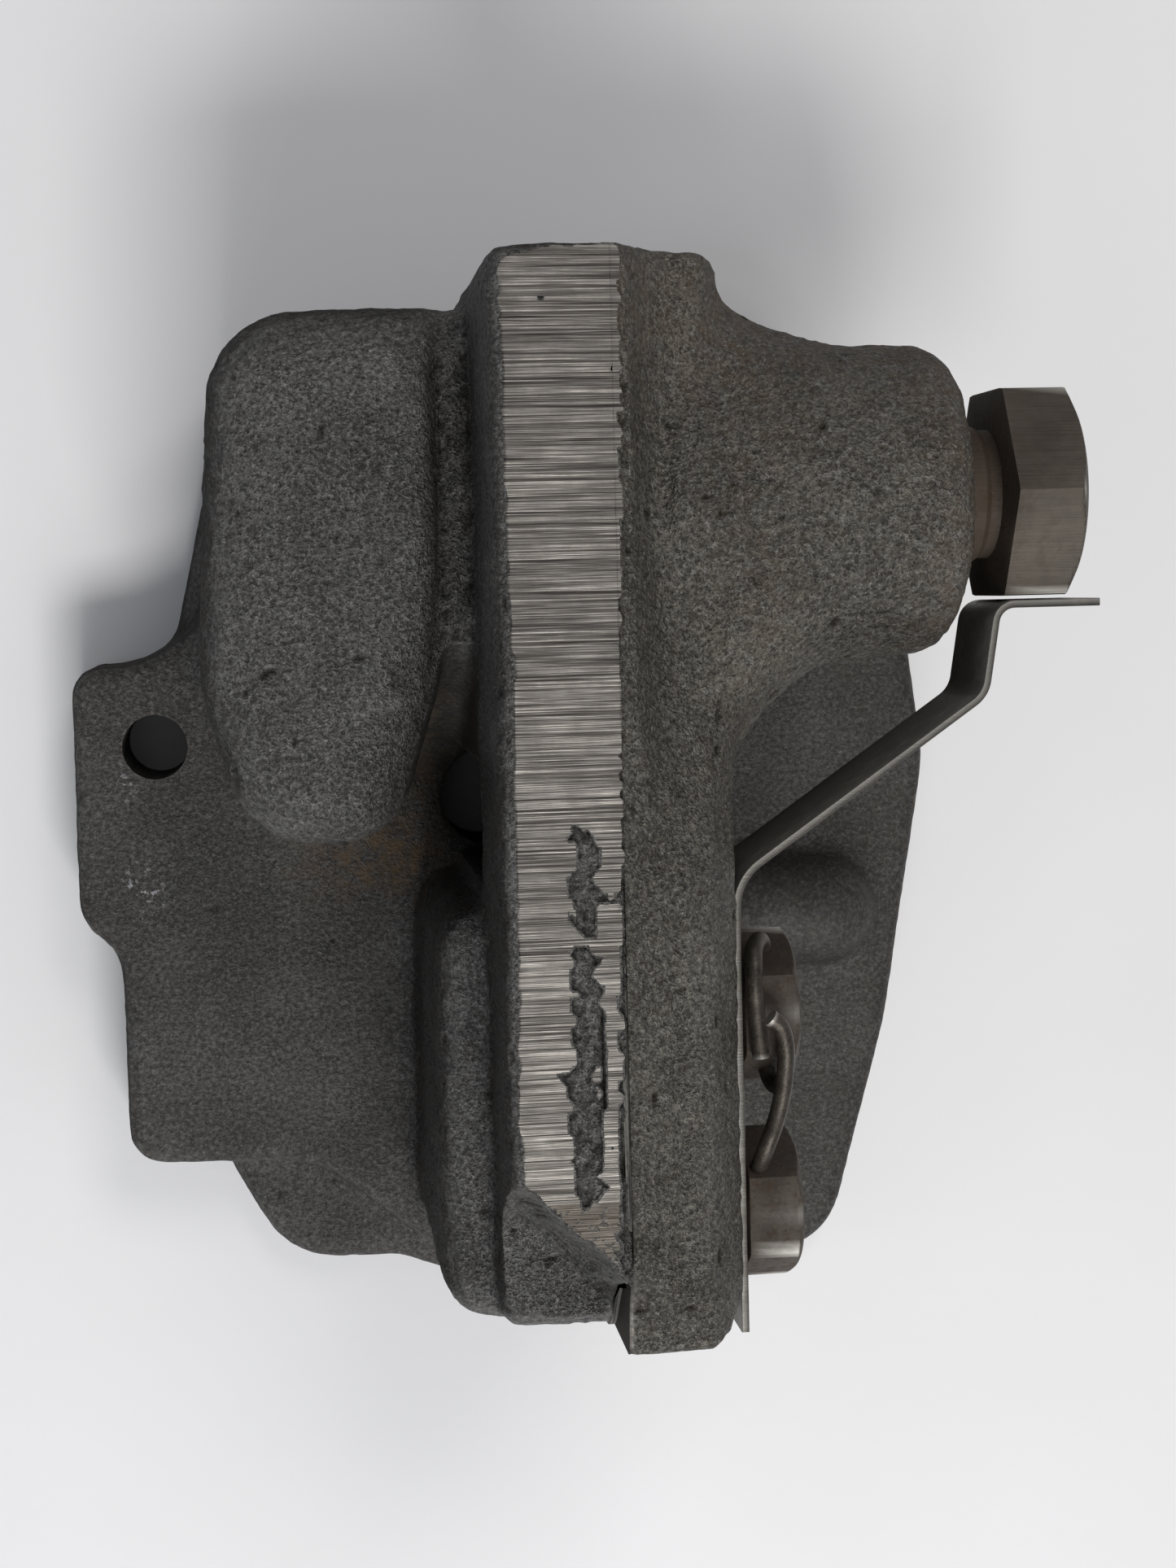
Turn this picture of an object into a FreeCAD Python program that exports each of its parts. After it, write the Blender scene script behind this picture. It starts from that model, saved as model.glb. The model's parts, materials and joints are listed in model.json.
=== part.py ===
"""Foot-mounted float steam trap with a locked relief adjusting screw.

Frame: millimetres, +Z up from the mounting face, +X from the body casting towards the cover,
+Y along the upright wall. The origin is on the foot's flat face, in the plane of the cover joint.
"""
import FreeCAD, Part
import math
import os

V = FreeCAD.Vector
X_AXIS = V(1, 0, 0)
Y_AXIS = V(0, 1, 0)
Z_AXIS = V(0, 0, 1)

# Heights above the mounting face
FOOT_TOP = 7.0
LUG_TOP = 14.0
FLOOR_TOP = 8.0
DOME_TOP = 50.0
DOME_RIGHT = -13.4
COLUMN_TOP = 52.0
WALL_TOP = 68.0
LIP_BOTTOM = 46.0

# Upright wall and its joint
WALL_LEFT = -10.0
GASKET_THICK = 0.5
COVER_FACE = 12.0
WALL_Y_MIN = -46.2
WALL_END = -34.0
WALL_Y_MAX = 51.4
COVER_BOTTOM = 8.0

# Relief line: boss, adjusting screw, spring and seat share one axis along X
RELIEF_Y = 30.0
RELIEF_Z = 50.0
BOSS_R = 14.4
BOSS_END = 34.0
SCREW_R = 6.3
SCREW_FIT = 0.05
HEX_AF = 19.05
HEX_START = 38.0
HEX_END = 45.0
SPRING_BORE_R = 5.5
SPRING_BORE_END = 13.5
RELIEF_SEAT_FACE = -1.0
RELIEF_SEAT_R = 5.0
RELIEF_PORT_R = 1.8

# Cap screws that hold the cover
CAP_R = 3.95
CAP_AF = 12.7
CAP_HEAD = 5.3
CAP_THREAD_END = -8.0
WIRED_Z = 50.0
WIRED_UPPER_Y = -17.3
WIRED_LOWER_Y = -36.1
HIDDEN_SCREWS = [(10.2, 27.0), (-38.8, 16.0), (44.0, 22.0)]
WIRE_HOLE_R = 1.0
WIRE_R = 0.8
WIRE_X = 15.55
WIRE_Z = 52.6
WIRE_ROUTE = [
    (V(13.8, -21.3, 57.5), 0), (V(13.8, -9.4, 57.5), 2.5), (V(15.3, -8.6, WIRE_Z), 1.6),
    (V(WIRE_X, -26.3, WIRE_Z), 1.4), (V(16.3, -25.6, 57.9), 1.4), (V(13.9, -30.4, 57.7), 1.4),
    (V(15.2, -34.6, 48.0), 0)]

# Lock strap
STRAP_THICK = 0.9
STRAP_Z_MIN = 44.0
STRAP_Z_MAX = 56.0
TAB_GAP = 0.3

# Foot features
LUG_HOLE = (-41.6, 6.6)
LUG_HOLE_R = 3.4
STUD_HOLE = (-6.5, 0.3)
STUD_HOLE_R = 5.2
PORT_R = 4.0
SEAL_R = 6.2
SEAL_DEPTH = 1.6
OUTLET = (-7.5, 30.0)
INLET = (-5.0, -23.5)

# Float and lever
PIVOT_X = 3.5
PIVOT_Z = 16.0
PIN_R = 1.25
PIN_FIT = 0.05
BALL_R = 10.5
BALL_WALL = 0.6
BALL_X = -19.0
BALL_Z = 22.0
LEVER_HALF_WIDTH = 2.2
LEVER_THICK = 1.6
VALVE_FACE = 10.0

DOWELS = [(-8.0, 57.0), (-42.5, 34.0)]


def box(x0, x1, y0, y1, z0, z1):
    return Part.makeBox(x1 - x0, y1 - y0, z1 - z0, V(x0, y0, z0))


def rod_x(x0, x1, y, z, r):
    return Part.makeCylinder(r, x1 - x0, V(x0, y, z), X_AXIS)


def rod_y(y0, y1, x, z, r):
    return Part.makeCylinder(r, y1 - y0, V(x, y0, z), Y_AXIS)


def rod_z(z0, z1, x, y, r):
    return Part.makeCylinder(r, z1 - z0, V(x, y, z0), Z_AXIS)


def rounded_edges(corners, closed=True):
    """Lines and arcs through corners given as (point, radius); radius 0 keeps a sharp corner."""
    count = len(corners)
    edges = []
    joins = []
    for i in range(count):
        point, radius = corners[i]
        at_end = not closed and i in (0, count - 1)
        if radius == 0 or at_end:
            joins.append((point, point, point))
            continue
        before = corners[i - 1][0]
        after = corners[(i + 1) % count][0]
        u = (before - point).normalize()
        w = (after - point).normalize()
        half = math.acos(max(-1.0, min(1.0, u.dot(w)))) / 2.0
        reach = radius / math.tan(half)
        centre = point + (u + w).normalize() * (radius / math.sin(half))
        middle = centre + (point - centre).normalize() * radius
        joins.append((point + u * reach, middle, point + w * reach))
    for i in range(count):
        start, middle, end = joins[i]
        if (start - end).Length > 1e-6:
            edges.append(Part.Arc(start, middle, end).toShape())
        if closed or i < count - 1:
            following = joins[(i + 1) % count][0]
            if (following - end).Length > 1e-6:
                edges.append(Part.LineSegment(end, following).toShape())
    return edges


def prism(points, direction, at=V(0, 0, 0)):
    """Extrude a rounded outline, given as (point, radius), along a direction."""
    wire = Part.Wire(rounded_edges([(p + at, r) for p, r in points]))
    return Part.Face(wire).extrude(direction)


def pad(outline, z0, z1, edge_radius=0.0):
    """An outline of (x, y, corner radius) between two heights, with a rounded top edge."""
    shape = prism([(V(x, y, z0), r) for x, y, r in outline], V(0, 0, z1 - z0))
    if edge_radius > 0:
        top = [e for e in shape.Edges if all(abs(v.Z - z1) < 1e-5 for v in e.Vertexes)]
        shape = shape.makeFillet(edge_radius, top)
    return shape


def hexagon_x(x0, x1, y, z, across_flats, corner_up):
    """A hexagonal prism along X, with a corner or a flat facing +Z."""
    radius = across_flats / math.sqrt(3.0)
    offset = 90.0 if corner_up else 60.0
    points = []
    for k in range(6):
        a = math.radians(offset + 60.0 * k)
        points.append(V(x0, y + radius * math.cos(a), z + radius * math.sin(a)))
    return Part.Face(Part.makePolygon(points + points[:1])).extrude(V(x1 - x0, 0, 0))


def chamfered_hexagon(x0, x1, y, z, across_flats, corner_up):
    """A hexagon head whose outer corners are turned off at about 30 degrees."""
    head = hexagon_x(x0, x1, y, z, across_flats, corner_up)
    corner_r = across_flats / math.sqrt(3.0)
    face_r = across_flats / 2.0 - 0.4
    run = (corner_r - face_r) * math.tan(math.radians(30.0))
    cone = Part.makeCone(corner_r + 0.01, face_r, run, V(x1 - run, y, z), X_AXIS)
    return head.common(rod_x(x0, x1 - run, y, z, corner_r + 0.01).fuse(cone))


# Castings -------------------------------------------------------------------------------------

FOOT_OUTLINE = [
    (-32.0, 50.0, 9), (26.0, 50.0, 12), (39.5, 31.0, 14), (43.2, 2.5, 16), (38.2, -27.5, 40),
    (31.0, -53.2, 8), (-12.5, -53.2, 3), (-17.0, -51.3, 4), (-29.5, -51.0, 9), (-35.5, -40.0, 4),
    (-38.5, -10.0, 30), (-40.0, 15.0, 20)]

LUG_OUTLINE = [
    (-50.0, 15.2, 3.0), (-43.5, 15.2, 6.0), (-37.2, 18.6, 3.0), (-34.0, 26.0, 2.0),
    (-5.0, 26.0, 1.0), (-5.0, -46.0, 1.0), (-13.0, -49.2, 1.0), (-26.0, -38.4, 12.0),
    (-45.9, -37.9, 3.5), (-45.9, -15.5, 4.0), (-50.2, -11.5, 4.0)]

DOME_OUTLINE = [
    (-33.8, 48.5, 8.5), (8.0, 48.5, 8), (8.0, 30.0, 8), (-8.0, 30.0, 8), (-18.0, -1.2, 7),
    (-31.5, -1.2, 8), (-35.9, 14.0, 20)]

COLUMN_OUTLINE = [(-15.2, -46.2, 4.5), (0.0, -46.2, 0), (0.0, -7.0, 0), (-14.6, -7.0, 4.5)]

CHAMBER_OUTLINE = [
    (-31.8, 44.6, 5), (-14.0, 44.6, 3), (-11.0, 38.8, 3), (0.0, 38.8, 0), (0.0, 19.4, 0),
    (-15.6, 19.4, 3), (-21.5, 3.6, 4), (-29.2, 3.6, 4)]


def wall_half():
    """The body's half of the upright wall: its far end slopes down to the column."""
    side = [
        (V(WALL_LEFT, WALL_Y_MAX, 0), 0), (V(WALL_LEFT, WALL_Y_MAX, WALL_TOP), 2.0),
        (V(WALL_LEFT, WALL_END, WALL_TOP), 3.0), (V(WALL_LEFT, WALL_Y_MIN, 54.0), 6.0),
        (V(WALL_LEFT, WALL_Y_MIN, 0), 0)]
    wall = prism(side, V(-WALL_LEFT, 0, 0))
    long_edge = []
    for edge in wall.Edges:
        flat = all(abs(v.Z - WALL_TOP) < 1e-5 for v in edge.Vertexes)
        left = all(abs(v.X - WALL_LEFT) < 1e-5 for v in edge.Vertexes)
        if flat and left:
            long_edge.append(edge)
    return wall.makeFillet(1.8, long_edge)


def dome_step():
    """The step between dome and wall, with a web that slopes from it down to the stud hole."""
    side = [
        (V(DOME_RIGHT - 2.0, 48.2, 0), 0), (V(DOME_RIGHT - 2.0, 48.2, DOME_TOP - 2.0), 4.0),
        (V(DOME_RIGHT - 2.0, 17.5, DOME_TOP - 2.0), 6.0), (V(DOME_RIGHT - 2.0, 7.0, 22.0), 0),
        (V(DOME_RIGHT - 2.0, 7.0, 0), 0)]
    return prism(side, V(WALL_LEFT - DOME_RIGHT + 3.0, 0, 0))


def foot_ridge():
    """A half-round ridge on the foot's cover side, with a ball end."""
    ridge_y = -14.0
    ridge_r = 6.2
    ridge = rod_x(COVER_FACE + 0.4, 30.5, ridge_y, FOOT_TOP, ridge_r)
    ridge = ridge.fuse(Part.makeSphere(ridge_r, V(30.5, ridge_y, FOOT_TOP)))
    return ridge.common(box(0, 45, -30, 0, FOOT_TOP - 3.0, FOOT_TOP + 7.0))


def joint_cuts(x0, x1, screw_radius):
    """Screw and dowel holes through the joint, between two X positions."""
    holes = []
    for y, z in HIDDEN_SCREWS + [(WIRED_UPPER_Y, WIRED_Z), (WIRED_LOWER_Y, WIRED_Z)]:
        holes.append(rod_x(x0, x1, y, z, screw_radius))
    return holes


def body_casting():
    shape = pad(FOOT_OUTLINE, 0, FOOT_TOP, 2.0)
    shape = shape.fuse(pad(LUG_OUTLINE, 0, LUG_TOP, 1.2))
    left_of_step = box(-60, DOME_RIGHT, -60, 60, 0, WALL_TOP)
    shape = shape.fuse(pad(DOME_OUTLINE, 0, DOME_TOP, 6.5).common(left_of_step))
    shape = shape.fuse(dome_step())
    shape = shape.fuse(pad(COLUMN_OUTLINE, 0, COLUMN_TOP, 4.0))
    shape = shape.fuse(wall_half())
    shape = shape.fuse(foot_ridge())
    pocket = rod_z(LUG_TOP - 1, LIP_BOTTOM, STUD_HOLE[0], STUD_HOLE[1], STUD_HOLE_R + 0.4)
    pocket = pocket.fuse(box(-24.0, STUD_HOLE[0], -5.3, 5.9, LUG_TOP, LIP_BOTTOM))
    pocket = pocket.cut(pad(DOME_OUTLINE, 0, DOME_TOP))
    chamber = pad(CHAMBER_OUTLINE, FLOOR_TOP, LIP_BOTTOM, 2.5)
    strainer_room = box(-11.0, 0, -33.5, -13.5, FLOOR_TOP, 43.0)
    cuts = [pocket, chamber, strainer_room]
    cuts.append(rod_z(-1, LUG_TOP + 1, LUG_HOLE[0], LUG_HOLE[1], LUG_HOLE_R))
    cuts.append(rod_z(-1, LUG_TOP + 1, STUD_HOLE[0], STUD_HOLE[1], STUD_HOLE_R))
    cuts.append(rod_z(-1, 4.0, OUTLET[0], OUTLET[1], PORT_R))
    cuts.append(rod_z(4.0, FLOOR_TOP + 1, OUTLET[0], OUTLET[1], 5.0))
    cuts.append(rod_z(-1, FLOOR_TOP + 1, INLET[0], INLET[1], PORT_R))
    for port in (INLET, OUTLET):
        cuts.append(rod_z(-1, SEAL_DEPTH, port[0], port[1], SEAL_R))
    cuts.append(rod_x(-6.0, 1, RELIEF_Y, RELIEF_Z, RELIEF_SEAT_R))
    cuts.append(rod_x(-9.0, 1, RELIEF_Y, RELIEF_Z, RELIEF_PORT_R))
    cuts.append(rod_z(LIP_BOTTOM - 1, RELIEF_Z, -8.0, RELIEF_Y, RELIEF_PORT_R - 0.3))
    cuts += joint_cuts(CAP_THREAD_END - 0.5, 1, CAP_R + 0.05)
    for y, z in DOWELS:
        cuts.append(rod_x(-5.0, 1, y, z, 2.0))
    for cut in cuts:
        shape = shape.cut(cut)
    return shape.removeSplitter()


def boss_flare():
    """The boss's root: ovals that shrink from the cover's face to the round boss."""
    ovals = [(10.5, 25.0, 47.5, 26.0, 14.5), (15.5, 28.0, 49.5, 18.5, 14.6), (23.0, 29.6, 50.0, 14.5, 14.4)]
    wires = []
    for x, y, z, half_y, half_z in ovals:
        oval = Part.Ellipse(V(x, y + half_y, z), V(x, y, z + half_z), V(x, y, z))
        wires.append(Part.Wire(oval.toShape()))
    return Part.makeLoft(wires, True, False)


def cover_shape():
    """The whole cover: the slab with its valley, the boss and its root, and every room and hole."""
    x0 = GASKET_THICK
    profile = [
        (V(x0, 0, COVER_BOTTOM), 0), (V(x0, 0, WALL_TOP), 0), (V(1.3, 0, WALL_TOP), 0.4),
        (V(5.4, 0, 61.8), 3.0), (V(9.6, 0, 61.2), 4.0), (V(COVER_FACE, 0, 55.0), 4.0),
        (V(COVER_FACE, 0, COVER_BOTTOM), 0)]
    shape = prism(profile, V(0, WALL_Y_MAX - WALL_Y_MIN, 0), V(0, WALL_Y_MIN, 0))
    shoulder = [
        (V(x0, 0, 50.0), 0), (V(x0, 0, WALL_TOP), 0), (V(1.3, 0, WALL_TOP), 0.4), (V(8.5, 0, 64.0), 3.0),
        (V(COVER_FACE, 0, 58.5), 3.0), (V(COVER_FACE, 0, 50.0), 0)]
    shape = shape.fuse(prism(shoulder, V(0, -3.0 - WALL_Y_MIN, 0), V(0, WALL_Y_MIN, 0)))
    low_end = [
        (V(-1, -35.5, WALL_TOP + 1), 0), (V(-1, -35.5, WALL_TOP), 0), (V(-1, -41.0, 64.5), 3.0),
        (V(-1, WALL_Y_MIN - 1, 63.6), 0), (V(-1, WALL_Y_MIN - 1, WALL_TOP + 1), 0)]
    shape = shape.cut(prism(low_end, V(15, 0, 0)))
    plan = [(x0, WALL_Y_MIN, 0), (COVER_FACE, WALL_Y_MIN, 5), (COVER_FACE, WALL_Y_MAX, 2), (x0, WALL_Y_MAX, 0)]
    shape = shape.common(pad(plan, 0, WALL_TOP + 1))
    boss = rod_x(6.0, BOSS_END, RELIEF_Y - 0.5, RELIEF_Z, BOSS_R)
    rim = [e for e in boss.Edges if all(abs(v.X - BOSS_END) < 1e-5 for v in e.Vertexes)]
    boss = boss.makeFillet(4.0, rim)
    shape = shape.fuse(boss)
    shape = shape.fuse(boss_flare())
    float_room = prism([
        (V(x0 - 1, 19.4, 10.0), 0), (V(x0 - 1, 38.8, 10.0), 0), (V(x0 - 1, 38.8, 40.0), 0),
        (V(x0 - 1, 19.4, 40.0), 0)], V(9.0, 0, 0))
    cuts = [float_room]
    cuts.append(box(x0 - 1, 6.5, -33.5, -13.5, 10.0, 43.0))
    cuts.append(box(x0 - 1, 5.0, -14.0, 20.0, 13.0, 20.0))
    cuts.append(rod_x(x0 - 1, SPRING_BORE_END, RELIEF_Y, RELIEF_Z, SPRING_BORE_R))
    cuts.append(rod_x(SPRING_BORE_END - 0.5, BOSS_END + 1, RELIEF_Y, RELIEF_Z, SCREW_R + SCREW_FIT))
    cuts.append(rod_x(29.0, 31.5, RELIEF_Y, RELIEF_Z, SCREW_R + 2.0))
    cuts.append(rod_y(RELIEF_Y, WALL_Y_MAX + 1, 6.5, RELIEF_Z, 2.5))
    cuts += joint_cuts(x0 - 1, COVER_FACE + 12, CAP_R + 0.25)
    for y, z in DOWELS:
        cuts.append(rod_x(x0 - 1, 6.0, y, z, 2.0))
    for side in (-3.5, 3.5):
        cuts.append(rod_x(7.0, 11.0, RELIEF_Y + side, 27.0, 1.5))
    for cut in cuts:
        shape = shape.cut(cut)
    return shape.removeSplitter()


def cover_casting():
    return cover_shape().common(box(0, COVER_FACE, -60, 60, 0, WALL_TOP + 1))


def spring_housing():
    """The boss around the relief spring: cast in one with the cover, but a piece of its own here."""
    return cover_shape().common(box(COVER_FACE, BOSS_END + 1, -60, 60, 0, WALL_TOP + 1))


def cover_gasket():
    """A flat sheet between the castings, open at both rooms, the relief line and every screw."""
    outline = [
        (V(0, WALL_Y_MIN - 0.3, COVER_BOTTOM), 0), (V(0, WALL_Y_MIN - 0.3, 54.0), 6.0),
        (V(0, WALL_END, WALL_TOP - 0.4), 3.0), (V(0, WALL_Y_MAX - 0.4, WALL_TOP - 0.4), 2.0),
        (V(0, WALL_Y_MAX - 0.4, COVER_BOTTOM), 0)]
    sheet = prism(outline, V(GASKET_THICK, 0, 0))
    cuts = joint_cuts(-1, 2, CAP_R + 0.25)
    cuts.append(rod_x(-1, 2, RELIEF_Y, RELIEF_Z, SPRING_BORE_R))
    cuts.append(box(-1, 2, 19.4, 38.8, 10.0, 40.0))
    cuts.append(box(-1, 2, -33.5, -13.5, 10.0, 43.0))
    for y, z in DOWELS:
        cuts.append(rod_x(-1, 2, y, z, 2.0))
    for cut in cuts:
        sheet = sheet.cut(cut)
    return sheet


# Fasteners and locking ------------------------------------------------------------------------

def cap_screw(y, z, seat_x):
    """A hexagon cap screw along X, with a flat of its head facing up."""
    head = chamfered_hexagon(seat_x, seat_x + CAP_HEAD, y, z, CAP_AF, corner_up=False)
    return head.fuse(rod_x(CAP_THREAD_END, seat_x, y, z, CAP_R))


def wired_cap_screw(y, wire_hole):
    """A cap screw that also clamps the strap, with its head drilled for the lock wire."""
    return cap_screw(y, WIRED_Z, COVER_FACE + STRAP_THICK).cut(wire_hole)


def cap_screw_upper():
    return wired_cap_screw(WIRED_UPPER_Y, rod_y(-30, -5, WIRE_X, WIRE_Z, WIRE_HOLE_R))


def cap_screw_lower():
    start, end = [point for point, radius in WIRE_ROUTE[-2:]]
    return wired_cap_screw(WIRED_LOWER_Y, Part.makeCylinder(WIRE_HOLE_R, 12.0, start, end - start))


def hidden_cap_screws():
    return Part.makeCompound([cap_screw(y, z, COVER_FACE) for y, z in HIDDEN_SCREWS])


def tube(route, radius):
    """A round wire that follows straight runs joined by arcs."""
    path = Part.Wire(rounded_edges(route, closed=False))
    start = route[0][0]
    heading = (route[1][0] - start).normalize()
    circle = Part.Wire(Part.makeCircle(radius, start, heading))
    return path.makePipeShell([circle], True, False)


def lock_wire():
    """Soft wire: over and through the upper head, then down into the lower head."""
    return tube(WIRE_ROUTE, WIRE_R)


def lock_strap():
    """A flat steel strip bent from the cap screws up to a tab under the hexagon's lower flat."""
    tab_y = RELIEF_Y - HEX_AF / 2.0 - TAB_GAP - STRAP_THICK / 2.0
    face_x = COVER_FACE + STRAP_THICK / 2.0
    centre = [
        (V(47.0, tab_y, 0), 0), (V(37.4, tab_y, 0), 1.8), (V(36.1, 11.5, 0), 3.0),
        (V(face_x, -4.8, 0), 5.0), (V(face_x, -47.0, 0), 0)]
    path = Part.Wire(rounded_edges(centre, closed=False))
    across = Part.makePolygon([V(47.0, tab_y - STRAP_THICK / 2, STRAP_Z_MIN),
                               V(47.0, tab_y + STRAP_THICK / 2, STRAP_Z_MIN),
                               V(47.0, tab_y + STRAP_THICK / 2, STRAP_Z_MAX),
                               V(47.0, tab_y - STRAP_THICK / 2, STRAP_Z_MAX),
                               V(47.0, tab_y - STRAP_THICK / 2, STRAP_Z_MIN)])
    strip = path.makePipeShell([across], True, False)
    for y in (WIRED_UPPER_Y, WIRED_LOWER_Y):
        strip = strip.cut(rod_x(0, 20, y, WIRED_Z, CAP_R + 0.2))
    return strip


def dowel_pins():
    return Part.makeCompound([rod_x(-5.0, 6.0, y, z, 2.0) for y, z in DOWELS])


# Relief line ----------------------------------------------------------------------------------

def adjusting_screw():
    head = chamfered_hexagon(HEX_START, HEX_END, RELIEF_Y, RELIEF_Z, HEX_AF, corner_up=True)
    shank = rod_x(13.1, HEX_START, RELIEF_Y, RELIEF_Z, SCREW_R)
    return head.fuse(shank)


def ring_x(x0, x1, inner, outer):
    return rod_x(x0, x1, RELIEF_Y, RELIEF_Z, outer).cut(rod_x(x0, x1, RELIEF_Y, RELIEF_Z, inner))


def screw_packing():
    return ring_x(29.0, 31.5, SCREW_R + SCREW_FIT, SCREW_R + 2.0)


def spring_cap():
    cap = rod_x(11.5, 13.08, RELIEF_Y, RELIEF_Z, 5.0)
    return cap.fuse(rod_x(9.6, 11.5, RELIEF_Y, RELIEF_Z, 2.3))


def relief_spring():
    turns = 6.0
    start = 1.1
    pitch = (11.0 - start) / turns
    coil = Part.makeHelix(pitch, pitch * turns, 3.3)
    wire = Part.Wire(coil.Edges)
    section = Part.Wire(Part.makeCircle(0.5, V(3.3, 0, 0), Y_AXIS))
    spring = wire.makePipeShell([section], True, True)
    spring.rotate(V(0, 0, 0), Y_AXIS, 90)
    spring.translate(V(start, RELIEF_Y, RELIEF_Z))
    return spring


def relief_valve():
    disc = rod_x(RELIEF_SEAT_FACE, 0.6, RELIEF_Y, RELIEF_Z, 4.4)
    return disc.fuse(rod_x(0.6, 6.0, RELIEF_Y, RELIEF_Z, 1.9))


def relief_seat():
    return ring_x(-6.0, RELIEF_SEAT_FACE, RELIEF_PORT_R, RELIEF_SEAT_R)


# Float valve ----------------------------------------------------------------------------------

def float_ball():
    centre = V(BALL_X, RELIEF_Y, BALL_Z)
    return Part.makeSphere(BALL_R, centre).cut(Part.makeSphere(BALL_R - BALL_WALL, centre))


def float_lever():
    y0 = RELIEF_Y - LEVER_HALF_WIDTH
    y1 = RELIEF_Y + LEVER_HALF_WIDTH
    half = LEVER_THICK / 2.0
    bar = box(BALL_X + 6.0, PIVOT_X, y0, y1, PIVOT_Z - half, PIVOT_Z + half)
    bar = bar.fuse(rod_y(y0, y1, PIVOT_X, PIVOT_Z, 2.3))
    bar = bar.cut(rod_y(y0 - 1, y1 + 1, PIVOT_X, PIVOT_Z, PIN_R + PIN_FIT))
    return bar.cut(Part.makeSphere(BALL_R, V(BALL_X, RELIEF_Y, BALL_Z)))


def valve_head():
    stem = rod_z(12.0, PIVOT_Z - LEVER_THICK / 2.0, OUTLET[0], OUTLET[1], 1.5)
    return stem.fuse(rod_z(VALVE_FACE, 12.0, OUTLET[0], OUTLET[1], 3.2))


def valve_seat():
    x, y = OUTLET
    seat = rod_z(4.2, 8.4, x, y, 5.0)
    seat = seat.fuse(rod_z(8.4, 9.3, x, y, 5.9))
    seat = seat.fuse(rod_z(9.3, VALVE_FACE - 0.02, x, y, 3.2))
    return seat.cut(rod_z(4.0, 11.0, x, y, 2.2))


def ring_z(place, z0, z1, inner, outer):
    x, y = place
    return rod_z(z0, z1, x, y, outer).cut(rod_z(z0, z1, x, y, inner))


def lever_bracket():
    """A plate on the cover's inner wall with two ears that carry the lever's pin."""
    plate = box(6.9, 8.5, 25.0, 35.0, 11.0, 31.0)
    for y in (RELIEF_Y - 3.4, RELIEF_Y + 2.5):
        ear = box(PIVOT_X, 6.9, y, y + 0.9, PIVOT_Z - 2.6, PIVOT_Z + 2.6)
        plate = plate.fuse(ear).fuse(rod_y(y, y + 0.9, PIVOT_X, PIVOT_Z, 2.6))
    plate = plate.cut(rod_y(20, 40, PIVOT_X, PIVOT_Z, PIN_R))
    for side in (-3.5, 3.5):
        plate = plate.cut(rod_x(5, 10, RELIEF_Y + side, 27.0, 1.6))
    return plate


def lever_pin():
    return rod_y(RELIEF_Y - 4.4, RELIEF_Y + 4.4, PIVOT_X, PIVOT_Z, PIN_R)


def pin_clips():
    clips = []
    for y in (RELIEF_Y - 4.1, RELIEF_Y + 3.5):
        clip = rod_y(y, y + 0.6, PIVOT_X, PIVOT_Z, 2.3)
        clips.append(clip.cut(rod_y(y, y + 0.6, PIVOT_X, PIVOT_Z, PIN_R)))
    return Part.makeCompound(clips)


def bracket_screws():
    screws = []
    for side in (-3.5, 3.5):
        head = rod_x(5.2, 6.9, RELIEF_Y + side, 27.0, 2.7)
        screws.append(head.fuse(rod_x(6.9, 10.8, RELIEF_Y + side, 27.0, 1.5)))
    return Part.makeCompound(screws)


def strainer_screen():
    """A thin tube over the inlet, with rows of round holes on four sides."""
    x, y = INLET
    screen = ring_z(INLET, FLOOR_TOP + 0.1, 42.8, 4.6, 5.0)
    for row in range(6):
        z = 12.0 + 5.0 * row
        screen = screen.cut(rod_x(x - 6, x + 6, y, z, 0.9))
        screen = screen.cut(rod_y(y - 6, y + 6, x, z + 2.5, 0.9))
    return screen


NODES = {
    "body_casting": body_casting,
    "cover_casting": cover_casting,
    "spring_housing": spring_housing,
    "cover_gasket": cover_gasket,
    "cap_screw_upper": cap_screw_upper,
    "cap_screw_lower": cap_screw_lower,
    "cover_screws": hidden_cap_screws,
    "dowel_pins": dowel_pins,
    "lock_wire": lock_wire,
    "lock_strap": lock_strap,
    "adjusting_screw": adjusting_screw,
    "screw_packing": screw_packing,
    "spring_cap": spring_cap,
    "relief_spring": relief_spring,
    "relief_valve": relief_valve,
    "relief_seat": relief_seat,
    "float_ball": float_ball,
    "float_lever": float_lever,
    "valve_head": valve_head,
    "valve_seat": valve_seat,
    "seat_gasket": lambda: ring_z(OUTLET, 8.0, 8.4, 5.05, 6.4),
    "lever_bracket": lever_bracket,
    "lever_pin": lever_pin,
    "pin_clips": pin_clips,
    "bracket_screws": bracket_screws,
    "strainer_screen": strainer_screen,
    "inlet_seal": lambda: ring_z(INLET, 0.05, SEAL_DEPTH, PORT_R, SEAL_R),
    "outlet_seal": lambda: ring_z(OUTLET, 0.05, SEAL_DEPTH, PORT_R, SEAL_R),
}

os.makedirs("parts", exist_ok=True)
for name, make in NODES.items():
    shape = make()
    if not shape.isValid():
        raise RuntimeError(name + " is not a valid shape")
    shape.exportStep("parts/" + name + ".step")
    size = shape.BoundBox
    print("%-18s %9.1f mm3  x %6.1f %6.1f  y %6.1f %6.1f  z %6.1f %6.1f" % (
        name, shape.Volume, size.XMin, size.XMax, size.YMin, size.YMax, size.ZMin, size.ZMax))
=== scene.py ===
import json
import math

import bmesh
import bpy
import numpy as np
from mathutils import Matrix, Vector


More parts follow.
